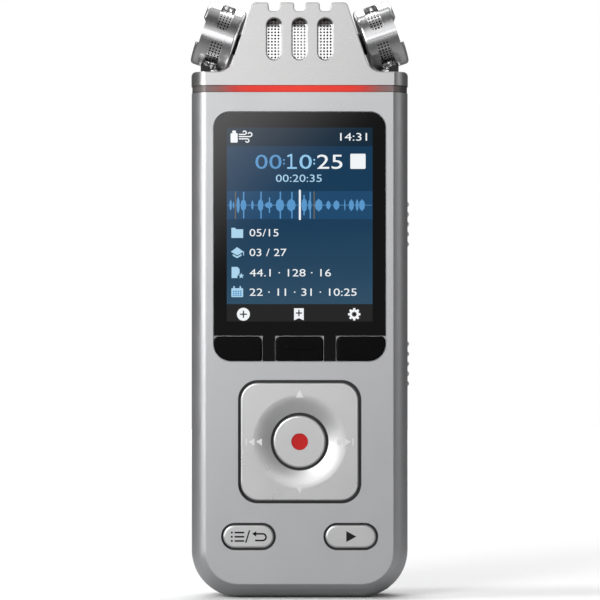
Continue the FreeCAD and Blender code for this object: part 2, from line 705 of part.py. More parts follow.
def main_chips():
    """Processor, memory and power chips on the board's rear."""
    back = PCB_Y[1]
    chips = [box(-7.5, 0.5, back, back + 1.0, 70.5, 78.5), box(2.5, 10.5, back, back + 1.0, 74, 80)]
    chips += [box(-12, -6, back, back + 0.9, 60, 65), box(-12, -8.5, back, back + 0.8, 30, 33.5)]
    return Part.makeCompound(chips)


def shield_can():
    """Pressed metal lid over the radio-noise-sensitive microphone preamplifier."""
    back = PCB_Y[1]
    can = box(1, 13, back, back + 1.4, 57.5, 69.5)
    return trim(can, box(1.2, 12.8, back - 1, back + 1.2, 57.7, 69.3))


def slide_switch():
    """Switch body that the slider's tongue moves in."""
    body = box(12.8, 17.4, PCB_Y[1], 1.2, SLIDER_Z - 4.5, SLIDER_Z + 4.5)
    return trim(body, box(15.4, 18, -1.2, 0.9, SLIDER_Z - 2.8, SLIDER_Z + 2.8))


def ridged_cap(z, base):
    """Side control with five small ridges on its outer face."""
    crest = HALF_W + RIDGE_H
    corners = [(base, z + SIDE_KEY_HALF, 0), (HALF_W, z + SIDE_KEY_HALF, 0.15)]
    for i in range(2, -3, -1):
        mid = z + RIDGE_PITCH * i
        corners += [(HALF_W, mid + RIDGE_FOOT, 0), (crest, mid + RIDGE_CREST, 0)]
        corners += [(crest, mid - RIDGE_CREST, 0), (HALF_W, mid - RIDGE_FOOT, 0)]
    corners += [(HALF_W, z - SIDE_KEY_HALF, 0.15), (base, z - SIDE_KEY_HALF, 0)]
    return plate(corners, -1.5, 1.5)


def power_slider():
    """Sliding power and hold control with an inner flange and a tongue."""
    cap = ridged_cap(SLIDER_Z, 20.5)
    flange = box(19.6, 20.9, -2.3, 1.7, SLIDER_Z - 8.4, SLIDER_Z + 8.4)
    tongue = box(16.0, 20.0, -0.7, 0.5, SLIDER_Z - 0.9, SLIDER_Z + 0.9)
    return join(cap, flange, tongue)


def volume_rocker():
    """Rocking control with an axle across its inner side."""
    return join(ridged_cap(ROCKER_Z, 19.9), rod_y(0.6, -2.85, 2.85, 20.3, ROCKER_Z))


def volume_switches():
    """Two small side-push switches behind the rocker."""
    switches = []
    for z in (ROCKER_Z - 3.2, ROCKER_Z + 3.2):
        body = box(14.8, 18.4, PCB_Y[1], 0.6, z - 1.6, z + 1.6)
        switches.append(join(body, rod_x(0.5, 18.0, 19.2, -0.6, z)))
    return Part.makeCompound(switches)


def jack(name):
    """3.5 mm socket with a round nose through the side wall."""
    z = JACK_Z[name]
    body = box(-20.9, -8.2, PCB_Y[1], 2.7, z - 3.1, z + 3.1)
    body = join(body, rod_x(JACK_NOSE_R, -22.45, -20.5, JACK_Y, z))
    return trim(body, rod_x(JACK_BORE_R, -23, -8.9, JACK_Y, z))


def usb_connector():
    """Micro-B socket at the bottom edge."""
    back = PCB_Y[1]
    shell = block(-3.75, 3.75, 0.5, 6.3, 0.2, back, back + 2.5)
    shell = trim(shell, box(-3.45, 3.45, back + 0.3, back + 2.2, 0, 5.6))
    return join(shell, box(-2.6, 2.6, back + 0.9, back + 1.4, 1.2, 5.7))


def chassis_frame():
    """Tray between board and battery."""
    tray = block(-14.2, 14.2, 21.6, 71.2, 1.0, -0.8, 3.0)
    return trim(tray, block(-13.2, 13.2, 22.6, 70.2, 0.8, -0.1, 5), block(-8, 8, 30, 55, 2.0, -2, 1))


def battery_cell():
    """Rechargeable pouch cell."""
    cell = block(-13.0, 13.0, 22.8, 70.0, 1.0, -0.1, 5.9)
    long_edges = [e for e in cell.Edges if e.BoundBox.ZLength > 40]
    return cell.makeFillet(0.9, long_edges)


def battery_pad():
    """Foam between battery and rear wall."""
    return block(-9, 9, 27, 65, 1.0, 5.9, REAR_IN)


def speaker():
    """Round loudspeaker facing the rear holes."""
    body = join(rod_y(6.5, 3.2, 6.3, 0, SPEAKER_Z), rod_y(8.0, 6.2, 7.2, 0, SPEAKER_Z))
    ball = (6.3 ** 2 + 0.6 ** 2) / 1.2
    return trim(body, Part.makeSphere(ball, Vector(0, 7.2 - 0.6 + ball, SPEAKER_Z)))


def speaker_gasket():
    """Foam ring between speaker and rear wall."""
    return tube_y(8.0, 6.6, 7.2, REAR_IN, 0, SPEAKER_Z)


def tripod_insert():
    """Brass threaded insert for a quarter-inch tripod screw."""
    return trim(rod_y(4.2, 2.6, 8.7, 0, TRIPOD_Z), rod_y(TRIPOD_R, 3.2, 10, 0, TRIPOD_Z))


def all_parts():
    """Every sub-part by the name of its node."""
    blank = housing_blank()
    parts = {"front_housing": front_housing(blank), "rear_housing": rear_housing(blank)}
    single = [housing_screws, pcb_screws, cap_screws, light_bar, led_board, indicator_leds, top_cap]
    single += [mic_mesh_center, mic_boot_center, mic_capsule_center, mic_flex, display_window]
    single += [display_gasket, lcd_panel, lcd_backlight, lcd_flex, nav_pad, nav_gimbal, rec_button]
    single += [rec_dot, keypad_rubber, dome_switches, main_pcb, main_chips, shield_can, slide_switch]
    single += [power_slider, volume_rocker, volume_switches, usb_connector, chassis_frame]
    single += [battery_cell, battery_pad, speaker, speaker_gasket, tripod_insert]
    for maker in single:
        parts[maker.__name__] = maker()
    for maker in (mic_drum, mic_mesh, mic_mount, mic_boot, mic_capsule, mic_foot):
        for side, word in ((-1, "left"), (1, "right")):
            parts[maker.__name__ + "_" + word] = maker(side)
    for name in FKEYS:
        parts["fkey_" + name] = fkey(name)
    for name in JACK_Z:
        parts[name] = jack(name)
    parts["menu_key"] = pill_key(-PILL_X)
    parts["play_key"] = pill_key(PILL_X)
    return parts


os.makedirs("parts", exist_ok=True)
for node, shape in all_parts().items():
    shape.exportStep("parts/" + node + ".step")
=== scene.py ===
import json
import math

import bmesh
import bpy
from mathutils import Matrix, Vector


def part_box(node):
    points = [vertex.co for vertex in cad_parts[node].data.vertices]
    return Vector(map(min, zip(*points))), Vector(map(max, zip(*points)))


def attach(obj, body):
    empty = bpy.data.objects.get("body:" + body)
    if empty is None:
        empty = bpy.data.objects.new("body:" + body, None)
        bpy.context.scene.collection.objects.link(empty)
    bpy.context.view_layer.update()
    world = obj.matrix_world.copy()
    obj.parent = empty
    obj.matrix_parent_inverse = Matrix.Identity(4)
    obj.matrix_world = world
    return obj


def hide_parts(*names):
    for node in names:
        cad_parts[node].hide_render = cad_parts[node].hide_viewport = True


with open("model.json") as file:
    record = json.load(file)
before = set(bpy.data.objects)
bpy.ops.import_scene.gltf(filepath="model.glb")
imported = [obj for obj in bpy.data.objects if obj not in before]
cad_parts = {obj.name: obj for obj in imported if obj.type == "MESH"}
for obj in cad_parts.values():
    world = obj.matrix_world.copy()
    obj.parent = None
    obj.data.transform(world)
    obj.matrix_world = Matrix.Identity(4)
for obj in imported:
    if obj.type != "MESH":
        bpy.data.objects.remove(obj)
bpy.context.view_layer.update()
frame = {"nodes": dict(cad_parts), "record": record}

# A voice recorder on a pale floor. The CAD model is the frame, and every place comes from it.
# Lengths named here are in millimetres unless they say otherwise, and MM turns them into metres.

MM = 0.001
DIGIT_RATIO = 0.729
NODES = frame["nodes"]


def mm_box(node):
    """Lowest and highest corner of a CAD node, in millimetres."""
    low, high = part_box(node)
    return low / MM, high / MM


WINDOW_LOW, WINDOW_HIGH = mm_box("display_window")
PAD_LOW, PAD_HIGH = mm_box("nav_pad")
MENU_LOW, MENU_HIGH = mm_box("menu_key")
PLAY_LOW, PLAY_HIGH = mm_box("play_key")
BAR_LOW, BAR_HIGH = mm_box("light_bar")

FRONT_Y = WINDOW_LOW.y
PAD_Z = (PAD_LOW.z + PAD_HIGH.z) / 2
KEY_Z = (MENU_LOW.z + MENU_HIGH.z) / 2
MENU_X = (MENU_LOW.x + MENU_HIGH.x) / 2
PLAY_X = (PLAY_LOW.x + PLAY_HIGH.x) / 2


# ---------------------------------------------------------------- materials

# Painted shade on the surfaces behind the front face round the keys: its colour, and the depths behind the
# face over which it sets in.
GAP_SHADE_COLOUR = (0.075, 0.075, 0.077, 1)
GAP_SHADE_DEPTH = (0.5, 0.7)


class Shader:
    """Short way to build a node material around one Principled shader."""

    def __init__(self, name):
        self.material = bpy.data.materials.new(name)
        self.material.use_nodes = True
        self.nodes = self.material.node_tree.nodes
        self.links = self.material.node_tree.links
        self.main = self.nodes["Principled BSDF"]

    def set(self, **values):
        for key, value in values.items():
            self.main.inputs[key.replace("_", " ")].default_value = value
        return self

    def add(self, kind, **settings):
        node = self.nodes.new("ShaderNode" + kind)
        for key, value in settings.items():
            if hasattr(node, key):
                setattr(node, key, value)
            else:
                node.inputs[key.replace("_", " ")].default_value = value
        return node

    def link(self, source, target):
        self.links.new(source, target)

    def place(self):
        """Position on the object, in metres."""
        return self.add("TexCoord").outputs["Object"]

    def stretched(self, scale):
        """Position scaled differently along each axis."""
        mapping = self.add("Mapping")
        mapping.inputs["Scale"].default_value = scale
        self.link(self.place(), mapping.inputs["Vector"])
        return mapping.outputs["Vector"]

    def noise(self, scale, detail=3.0, vector=None):
        node = self.add("TexNoise", Scale=scale, Detail=detail)
        self.link(vector or self.place(), node.inputs["Vector"])
        return node.outputs["Fac"]

    def ramp(self, source, stops, interpolation="LINEAR"):
        """Colour ramp with stops of (position, colour)."""
        node = self.add("ValToRGB")
        node.color_ramp.interpolation = interpolation
        while len(node.color_ramp.elements) < len(stops):
            node.color_ramp.elements.new(0.5)
        for element, (position, colour) in zip(node.color_ramp.elements, stops):
            element.position = position
            element.color = colour if len(colour) == 4 else (*colour, 1)
        self.link(source, node.inputs["Fac"])
        return node.outputs["Color"]

    def span(self, source, low, high, to_low=0.0, to_high=1.0):
        """Map a value from one span to another."""
        node = self.add("MapRange")
        for key, value in zip(("From Min", "From Max", "To Min", "To Max"), (low, high, to_low, to_high)):
            node.inputs[key].default_value = value
        self.link(source, node.inputs["Value"])
        return node.outputs["Result"]

    def bump(self, height, strength, distance):
        node = self.add("Bump", Strength=strength, Distance=distance)
        self.link(height, node.inputs["Height"])
        self.link(node.outputs["Normal"], self.main.inputs["Normal"])

    def axis(self, letter):
        node = self.add("SeparateXYZ")
        self.link(self.place(), node.inputs["Vector"])
        return node.outputs[letter]


def shade_in_key_openings(s):
    """Mask of painted shade: one behind the front face between the lowest and the highest key, nought
    elsewhere.
    """
    across = s.add("Math", operation="ABSOLUTE")
    s.link(s.axis("X"), across.inputs[0])
    factors = [s.span(s.axis("Y"), *((FRONT_Y + depth) * MM for depth in GAP_SHADE_DEPTH))]
    factors.append(s.span(across.outputs["Value"], PLAY_HIGH.x * MM, (PLAY_HIGH.x + 0.5) * MM, 1.0, 0.0))
    factors.append(s.span(s.axis("Z"), (MENU_LOW.z - 0.3) * MM, MENU_LOW.z * MM))
    factors.append(s.span(s.axis("Z"), PAD_HIGH.z * MM, (PAD_HIGH.z + 0.3) * MM, 1.0, 0.0))
    product = factors[0]
    for factor in factors[1:]:
        node = s.add("Math", operation="MULTIPLY")
        s.link(product, node.inputs[0])
        s.link(factor, node.inputs[1])
        product = node.outputs["Value"]
    return product


def speckled(name, colour, spread, roughness, metallic=0.0, grain=9000.0, bump=0.05, uneven=0.03,
             specular=0.5, shade=None):
    """Moulded or painted surface: fine colour speckle, uneven gloss and a faint texture, with painted shade
    where a mask is given.
    """
    s = Shader(name)
    s.set(Metallic=metallic, Specular_IOR_Level=specular)
    dark = [c * (1 - spread) for c in colour]
    light = [min(1.0, c * (1 + spread)) for c in colour]
    paint = s.ramp(s.noise(grain), [(0.3, dark), (0.7, light)])
    # Painted shade: the colour turns dark behind the front face wherever the mask says.
    if shade:
        mix = s.add("Mix", data_type="RGBA")
        s.link(shade(s), mix.inputs["Factor"])
        s.link(paint, mix.inputs["A"])
        mix.inputs["B"].default_value = GAP_SHADE_COLOUR
        paint = mix.outputs["Result"]
    s.link(paint, s.main.inputs["Base Color"])
    cloud = s.noise(160.0, 4.0)
    s.link(s.span(cloud, 0.3, 0.7, roughness - uneven, roughness + uneven), s.main.inputs["Roughness"])
    s.bump(s.noise(grain * 0.7, 2.0), bump, 0.00002)
    return s.material


def brushed(name, colour, roughness, scale, bump=0.06):
    """Plated metal with a faint drawn grain along one way."""
    s = Shader(name)
    s.set(Metallic=1.0)
    grain = s.noise(1.0, 3.0, s.stretched(scale))
    dark = [c * 0.95 for c in colour]
    s.link(s.ramp(grain, [(0.3, dark), (0.7, colour)]), s.main.inputs["Base Color"])
    s.link(s.span(grain, 0.3, 0.7, roughness - 0.03, roughness + 0.04), s.main.inputs["Roughness"])
    s.bump(grain, bump, 0.00002)
    return s.material


def light_guide():
    """Smoked guide: glowing red in the middle, grey towards its ends, with painted shade along its top and
    bottom edges.
    """
    s = Shader("smoked_light_guide")
    s.set(Roughness=0.25, Specular_IOR_Level=0.25)
    across = s.add("Math", operation="ABSOLUTE")
    s.link(s.axis("X"), across.inputs[0])
    reach = s.span(across.outputs["Value"], 0.0, BAR_HIGH.x * MM)
    stops = [(0.0, (0.76, 0.030, 0.014)), (0.46, (0.74, 0.030, 0.016)), (0.60, (0.58, 0.042, 0.032)),
             (0.74, (0.33, 0.13, 0.12)), (0.88, (0.22, 0.195, 0.19)), (1.0, (0.06, 0.06, 0.06))]
    # Painted shade: thin dark lines along the top and bottom edges of the guide.
    off_middle = s.add("Math", operation="SUBTRACT")
    s.link(s.axis("Z"), off_middle.inputs[0])
    off_middle.inputs[1].default_value = (BAR_LOW.z + BAR_HIGH.z) / 2 * MM
    off = s.add("Math", operation="ABSOLUTE")
    s.link(off_middle.outputs["Value"], off.inputs[0])
    mix = s.add("Mix", data_type="RGBA")
    s.link(s.span(off.outputs["Value"], 0.0005, 0.00072, 0.0, 0.75), mix.inputs["Factor"])
    s.link(s.ramp(reach, stops), mix.inputs["A"])
    mix.inputs["B"].default_value = (0.02, 0.01, 0.01, 1)
    s.link(mix.outputs["Result"], s.main.inputs["Base Color"])
    s.link(s.ramp(reach, [(0.0, (0.86, 0.06, 0.035)), (0.55, (0.6, 0.04, 0.03)), (0.75, (0.02, 0.0, 0.0)),
                          (1.0, (0, 0, 0))]), s.main.inputs["Emission Color"])
    s.set(Emission_Strength=0.26)
    s.bump(s.noise(400.0), 0.03, 0.00002)
    return s.material


def lit_picture():
    """Lit display: deep blue above, a little lighter and greyer towards the bottom."""
    s = Shader("lit_display")
    s.set(Roughness=0.03, Emission_Strength=1.0, Base_Color=(0.001, 0.001, 0.001, 1))
    up = s.span(s.axis("Z"), 0.0574, 0.09765)
    soft = s.add("Math", operation="MULTIPLY_ADD")
    s.link(s.noise(60.0, 2.0), soft.inputs[0])
    soft.inputs[1].default_value = 0.12
    s.link(up, soft.inputs[2])
    stops = [(0.06, (0.028, 0.078, 0.130)), (0.30, (0.014, 0.056, 0.108)), (0.55, (0.005, 0.040, 0.092)),
             (0.8, (0.002, 0.036, 0.088)), (1.0, (0.002, 0.034, 0.084))]
    s.link(s.ramp(soft.outputs["Value"], stops), s.main.inputs["Emission Color"])
    return s.material


def lit_ink(name, colour, strength=1.0):
    """Lit part of the display's picture, with the fine grid of its dots."""
    s = Shader(name)
    s.set(Roughness=0.03, Emission_Strength=strength, Base_Color=(0.001, 0.001, 0.001, 1))
    dots = s.noise(30000.0, 1.0)
    dim = [c * 0.93 for c in colour]
    s.link(s.ramp(dots, [(0.35, dim), (0.65, colour)]), s.main.inputs["Emission Color"])
    return s.material


MATERIALS = {
    # silver_paint and key_silver carry painted shade inside the key openings.
    "silver_paint": speckled("silver_metallic_paint_and_gap_shade", (0.54, 0.545, 0.557), 0.05, 0.35, 0.86,
                             shade=shade_in_key_openings),
    "rear_paint": speckled("silver_rear_paint", (0.50, 0.505, 0.515), 0.05, 0.38, 0.75),
    "satin_chrome": brushed("satin_chrome_plate", (0.545, 0.54, 0.54), 0.30, (500.0, 500.0, 9000.0), 0.02),
    "bright_chrome": brushed("bright_chrome_plate", (0.68, 0.68, 0.69), 0.20, (2500.0, 300.0, 2500.0), 0.04),
    "mesh_metal": brushed("perforated_sheet_metal", (0.78, 0.78, 0.78), 0.22, (3000.0, 3000.0, 3000.0)),
    "smoked_guide": light_guide(),
    "window_black": speckled("gloss_black_window", (0.001, 0.001, 0.0012), 0.2, 0.03, grain=2000.0, bump=0.0,
                             uneven=0.003),
    "key_black": speckled("semi_gloss_black_key", (0.002, 0.002, 0.0022), 0.15, 0.20, grain=6000.0, bump=0.04,
                          specular=0.07),
    "key_silver": speckled("silver_key_paint_and_gap_shade", (0.675, 0.675, 0.68), 0.04, 0.30, 0.8, bump=0.01,
                           shade=shade_in_key_openings),
    "red_lens": speckled("red_translucent_lens", (0.62, 0.012, 0.012), 0.08, 0.25, grain=3000.0, bump=0.02,
                         specular=0.3),
    "inner_black": speckled("moulded_black_plastic", (0.02, 0.02, 0.02), 0.15, 0.5, grain=5000.0, bump=0.2),
    "black_rubber": speckled("black_rubber", (0.012, 0.012, 0.012), 0.2, 0.7, grain=4000.0, bump=0.3),
    "foam": speckled("dark_foam", (0.05, 0.05, 0.05), 0.4, 0.9, grain=3000.0, bump=0.8),
    "display_glass": speckled("display_glass", (0.01, 0.02, 0.03), 0.1, 0.06, grain=2000.0, bump=0.0),
    "board_green": speckled("green_board_mask", (0.01, 0.09, 0.04), 0.15, 0.35, grain=3000.0, bump=0.1),
    "chip_black": speckled("chip_moulding", (0.015, 0.015, 0.016), 0.2, 0.45, grain=7000.0, bump=0.2),
    "tin_plate": brushed("tin_plated_steel", (0.62, 0.62, 0.60), 0.32, (4000.0, 300.0, 4000.0)),
    "cell_foil": speckled("cell_foil", (0.42, 0.42, 0.43), 0.06, 0.35, 0.6, grain=900.0, bump=0.3),
    "amber_film": speckled("amber_film", (0.30, 0.11, 0.015), 0.08, 0.25, grain=1500.0),
    "screw_steel": brushed("black_screw_steel", (0.10, 0.10, 0.105), 0.35, (3000.0, 400.0, 3000.0)),
    "brass_insert": brushed("turned_brass", (0.62, 0.44, 0.17), 0.28, (5000.0, 400.0, 5000.0)),
    "connector_steel": brushed("plated_shell_steel", (0.58, 0.58, 0.59), 0.28, (3000.0, 3000.0, 400.0)),
    "print_dark": speckled("dark_print", (0.012, 0.012, 0.013), 0.1, 0.45, grain=6000.0, bump=0.1,
                           specular=0.15),
    "print_light": speckled("light_print", (0.88, 0.88, 0.88), 0.03, 0.32, 0.8, grain=6000.0),
    "picture": lit_picture(),
    "ink_white": lit_ink("picture_white", (0.90, 0.93, 0.95)),
    "ink_pale": lit_ink("picture_pale", (0.42, 0.68, 0.87)),
    "ink_sky": lit_ink("picture_sky", (0.30, 0.60, 0.86)),
    "ink_blue": lit_ink("picture_blue", (0.10, 0.31, 0.60)),
    "ink_deep": lit_ink("picture_deep_blue", (0.008, 0.062, 0.15)),
    "ink_dusk": lit_ink("picture_dusk", (0.001, 0.018, 0.040)),
    "ink_grey": lit_ink("picture_grey", (0.013, 0.013, 0.013)),
    "ink_brown": lit_ink("picture_brown", (0.13, 0.12, 0.10)),
}

for entry in frame["record"]["subparts"]:
    node = NODES[entry["node"]]
    node.data.materials.clear()
    node.data.materials.append(MATERIALS[entry["material_slot"]])


# ---------------------------------------------------------------- shapes

def new_piece(name, mesh_builder, material, body="case"):
    """Object from a bmesh, given in millimetres, riding on a body."""
    mesh = bpy.data.meshes.new(name)
    mesh_builder.transform(Matrix.Scale(MM, 4))
    bmesh.ops.recalc_face_normals(mesh_builder, faces=mesh_builder.faces)
    mesh_builder.to_mesh(mesh)
    mesh_builder.free()
    mesh.materials.append(MATERIALS[material])
    piece = bpy.data.objects.new(name, mesh)
    bpy.context.scene.collection.objects.link(piece)
    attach(piece, body)
    return piece


def prism(bm, points, y_front, y_back):
    """Straight-sided solid whose outline (x, z) runs in a plane across Y."""
    front = [bm.verts.new((x, y_front, z)) for x, z in points]
    back = [bm.verts.new((x, y_back, z)) for x, z in points]
    bm.faces.new(front)
    bm.faces.new(back[::-1])
    count = len(points)
    for i in range(count):
        j = (i + 1) % count
        bm.faces.new((front[j], front[i], back[i], back[j]))


def arc(x, z, r, start, stop, steps):
    """Points on an arc, angles in degrees."""
    angles = [math.radians(start + (stop - start) * i / steps) for i in range(steps + 1)]
    return [(x + r * math.cos(a), z + r * math.sin(a)) for a in angles]


def round_rect(x0, x1, z0, z1, r, steps=6):
    """Rectangle with round corners."""
    r = min(r, (x1 - x0) / 2 - 1e-4, (z1 - z0) / 2 - 1e-4)
    points = []
    centres = ((x1 - r, z1 - r), (x0 + r, z1 - r), (x0 + r, z0 + r), (x1 - r, z0 + r))
    for quarter, (x, z) in enumerate(centres):
        points += arc(x, z, r, 90 * quarter, 90 * quarter + 90, steps)
    return points


def disc(x, z, r, steps=32):
    return arc(x, z, r, 0, 360 * (steps - 1) / steps, steps - 1)


def ring(bm, outer, inner, y_front, y_back):
    """Flat frame between two outlines of the same number of points."""
    rows = []
    for points, y in ((outer, y_front), (inner, y_front), (inner, y_back), (outer, y_back)):
        rows.append([bm.verts.new((x, y, z)) for x, z in points])
    count = len(outer)
    for a, b in zip(rows, rows[1:] + rows[:1]):
        for i in range(count):
            j = (i + 1) % count
            bm.faces.new((a[i], a[j], b[j], b[i]))


def bar(bm, x0, z0, x1, z1, width, y_front, y_back):
    """Straight stroke with round ends."""
    angle = math.degrees(math.atan2(z1 - z0, x1 - x0))
    points = arc(x1, z1, width / 2, angle - 90, angle + 90, 5)
    points += arc(x0, z0, width / 2, angle + 90, angle + 270, 5)
    prism(bm, points, y_front, y_back)


def words(name, text, x0, x1, z, height, material, y):
    """Numerals as a thin raised mesh, set between x0 and x1 on the line at z."""
    curve = bpy.data.curves.new(name, "FONT")
    curve.body = text
    curve.size = height / DIGIT_RATIO * MM
    curve.extrude = 0.006 * MM
    curve.resolution_u = 3
    holder = bpy.data.objects.new(name + "_line", curve)
    bpy.context.scene.collection.objects.link(holder)
    mesh = bpy.data.meshes.new_from_object(holder.evaluated_get(bpy.context.evaluated_depsgraph_get()))
    bpy.data.objects.remove(holder)
    left = min(v.co.x for v in mesh.vertices)
    right = max(v.co.x for v in mesh.vertices)
    stretch = (x1 - x0) * MM / (right - left)
    for vertex in mesh.vertices:
        across, up, out = vertex.co
        vertex.co = (x0 * MM + (across - left) * stretch, y * MM - out, z * MM + up)
    mesh.materials.clear()
    mesh.materials.append(MATERIALS[material])
    piece = bpy.data.objects.new(name, mesh)
    bpy.context.scene.collection.objects.link(piece)
    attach(piece, "case")
    return piece


# ---------------------------------------------------------------- display picture

PICTURE_X = 15.1
PICTURE_LOW = WINDOW_LOW.z + 8.2
PICTURE_TOP = WINDOW_HIGH.z - 3.25
BAR_TOP = PICTURE_LOW + 3.6
STATUS_LOW = PICTURE_TOP - 3.85
TRACK_Z = PICTURE_TOP - 16.05
TRACK_HALF = 2.9
GLASS_Y = FRONT_Y - 0.004
BAND_Y = FRONT_Y - 0.008
INK_Y = FRONT_Y - 0.014
INK_BACK = FRONT_Y - 0.002


def band(name, low, top, material):
    """Strip across the whole picture."""
    bm = bmesh.new()
    prism(bm, round_rect(-PICTURE_X, PICTURE_X, low, top, 0.05, 2), BAND_Y, FRONT_Y)
    new_piece(name, bm, material)


def picture_area():
    bm = bmesh.new()
    prism(bm, round_rect(-PICTURE_X, PICTURE_X, PICTURE_LOW, PICTURE_TOP, 0.15, 2), GLASS_Y, FRONT_Y + 0.02)
    new_piece("display_picture", bm, "picture")
    band("display_softkey_bar", PICTURE_LOW, BAR_TOP, "ink_grey")
    band("display_status_bar", STATUS_LOW, PICTURE_TOP, "ink_dusk")
    band("display_track_band", TRACK_Z - TRACK_HALF, TRACK_Z + TRACK_HALF, "ink_deep")


def ink(name, material, strokes=(), outlines=()):
    """Flat marks of the display's picture."""
    bm = bmesh.new()
    for x0, z0, x1, z1, width in strokes:
        bar(bm, x0, z0, x1, z1, width, INK_Y, INK_BACK)
    for points in outlines:
        prism(bm, points, INK_Y, INK_BACK)
    return new_piece(name, bm, material)


def status_row():
    """Battery, wind sign and clock."""
    outlines = [round_rect(-14.31, -12.84, 94.56, 96.5, 0.15, 2)]
    outlines.append(round_rect(-13.95, -13.2, 96.5, 97.05, 0.15, 2))
    strokes = []
    for z, reach, bend_x, bend_z, r, start, stop in ((96.25, -11.4, -11.4, 96.6, 0.35, -90, 150),
                                                     (95.8, -10.3, -10.3, 96.22, 0.42, -90, 150),
                                                     (95.33, -10.85, -10.85, 94.98, 0.35, 90, -150)):
        strokes.append((-12.5, z, reach, z, 0.24))
        hook = arc(bend_x, bend_z, r, start, stop, 7)
        strokes += [(a[0], a[1], b[0], b[1], 0.24) for a, b in zip(hook, hook[1:])]
    ink("display_status", "ink_white", strokes, outlines)
    words("display_clock", "14:31", 8.39, 13.96, 94.96, 1.67, "ink_white", INK_Y)


def colon(name, x, material):
    ink(name, material, outlines=[disc(x, z, 0.2, 12) for z in (90.2, 90.97)])


def timers():
    """Running time in three shades, the stop square and the total time."""
    words("display_hours", "00", -9.18, -3.74, 89.13, 3.1, "ink_blue", INK_Y)
    colon("display_colon_a", -3.25, "ink_blue")
    one = ((-1.72, 89.3, -1.72, 92.05), (-1.72, 92.05, -2.42, 91.75), (-2.42, 89.3, -0.72, 89.3))
    ink("display_minutes_one", "ink_sky", [(*stroke, 0.36) for stroke in one])
    words("display_minutes", "0", -0.05, 2.52, 89.13, 3.1, "ink_sky", INK_Y)
    colon("display_colon_b", 3.02, "ink_sky")
    words("display_seconds", "25", 3.6, 8.87, 89.13, 3.1, "ink_white", INK_Y)
    ink("display_stop_square", "ink_white", outlines=[round_rect(10.49, 13.65, 89.11, 92.24, 0.2, 3)])
    words("display_total", "00:20:35", -4.93, 4.58, 86.42, 1.6, "ink_pale", INK_Y)


def track():
    """Sound track: a mirrored outline with loud and quiet stretches, a cursor and two marks."""
    swells = ((-14.3, 0.5, 1.2), (-13.7, 0.3, 0.8), (-12.75, 0.65, 1.8), (-11.65, 1.15, 1.35),
              (-9.8, 0.5, 1.05), (-8.1, 1.15, 1.4), (-6.4, 1.5, 0.7), (-4.1, 1.7, 1.45),
              (-1.75, 1.8, 1.4), (0.95, 1.15, 1.6), (2.1, 0.7, 1.35), (3.95, 1.55, 1.35),
              (5.95, 0.9, 0.95), (7.6, 1.25, 1.05), (9.35, 0.25, 1.3), (10.7, 1.05, 1.25),
              (11.9, 0.6, 1.3), (12.9, 1.2, 1.25))
    spikes = ((-11.6, 2.65), (-8.0, 2.7), (-6.25, 1.5), (-4.0, 2.7), (-1.6, 2.65), (0.9, 2.0), (2.2, 2.65))
    outlines = [round_rect(-15.0, 14.9, TRACK_Z - 0.05, TRACK_Z + 0.05, 0.05, 2)]
    for x, width, height in swells:
        half = width / 2
        side = [(x - half, 0.12), (x - half * 0.75, height * 0.62), (x - half * 0.3, height * 0.8),
                (x, height), (x + half * 0.35, height * 0.78), (x + half * 0.8, height * 0.6),
                (x + half, 0.12)]
        outlines.append([(a, TRACK_Z + b) for a, b in side] + [(a, TRACK_Z - b) for a, b in reversed(side)])
    strokes = [(x, TRACK_Z - height, x, TRACK_Z + height, 0.26) for x, height in spikes]
    ink("display_waveform", "ink_blue", strokes, outlines)
    ink("display_cursor", "ink_white", [(0.04, TRACK_Z - 2.9, 0.04, TRACK_Z + 3.0, 0.42)])
    ink("display_marks", "ink_brown", [(x, TRACK_Z - 2.75, x, TRACK_Z + 2.75, 0.26) for x in (-13.3, 3.0)])


def list_rows():
    """Four lines, each a small sign and numerals."""
    dot = " \u00b7 "
    rows = (("folder", 75.14, -4.38, "05/15"), ("stack", 71.06, -2.72, "03 / 27"),
            ("page", 66.84, 6.49, "44.1" + dot + "128" + dot + "16"),
            ("month", 62.83, 11.8, "22" + dot + "11" + dot + "31" + dot + "10:25"))
    for name, z, right, text in rows:
        words("display_row_" + name, text, -10.38, right, z, 1.6, "ink_white", INK_Y)
    x0, x1 = -14.14, -11.71
    folder = [(x0, 74.81), (x0, 76.91), (x0 + 0.75, 76.91), (x0 + 1.05, 76.6), (x1, 76.6), (x1, 74.81)]
    ink("display_sign_folder", "ink_pale", outlines=[folder])
    lozenge = [(-14.25, 71.95), (-12.95, 72.9), (-11.6, 71.95), (-12.95, 71.2)]
    under = [(-13.85, 71.5), (-12.95, 70.98), (-12.05, 71.5)]
    under += [(-12.05, 71.1), (-12.95, 70.62), (-13.85, 71.1)]
    ink("display_sign_stack", "ink_pale", [(-11.62, 71.95, -11.62, 71.25, 0.16)], [lozenge, under])
    page = [(-14.1, 66.5), (-14.1, 68.8), (-12.9, 68.8), (-12.45, 68.35)]
    page += [(-12.45, 67.5), (-12.9, 66.9), (-12.9, 66.5)]
    star = []
    for i in range(5):
        star += arc(-12.1, 66.95, 0.62, 90 + 72 * i, 90 + 72 * i + 36, 1)[:1]
        star += arc(-12.1, 66.95, 0.27, 126 + 72 * i, 126 + 72 * i, 1)[:1]
    ink("display_sign_page", "ink_pale", outlines=[page, star])
    sheet = round_rect(x0, x1, 62.55, 64.4, 0.15, 2)
    tabs = [round_rect(x - 0.14, x + 0.14, 64.3, 64.85, 0.1, 2) for x in (-13.6, -12.3)]
    ink("display_sign_month", "ink_pale", outlines=[sheet] + tabs)
    bm = bmesh.new()
    for column in range(4):
        for line in range(3):
            left = x0 + 0.28 + 0.49 * column
            prism(bm, round_rect(left, left + 0.36, 62.75 + 0.42 * line, 63.05 + 0.42 * line, 0.04, 2),
                  INK_Y - 0.003, INK_Y + 0.003)
    new_piece("display_month_days", bm, "ink_blue")


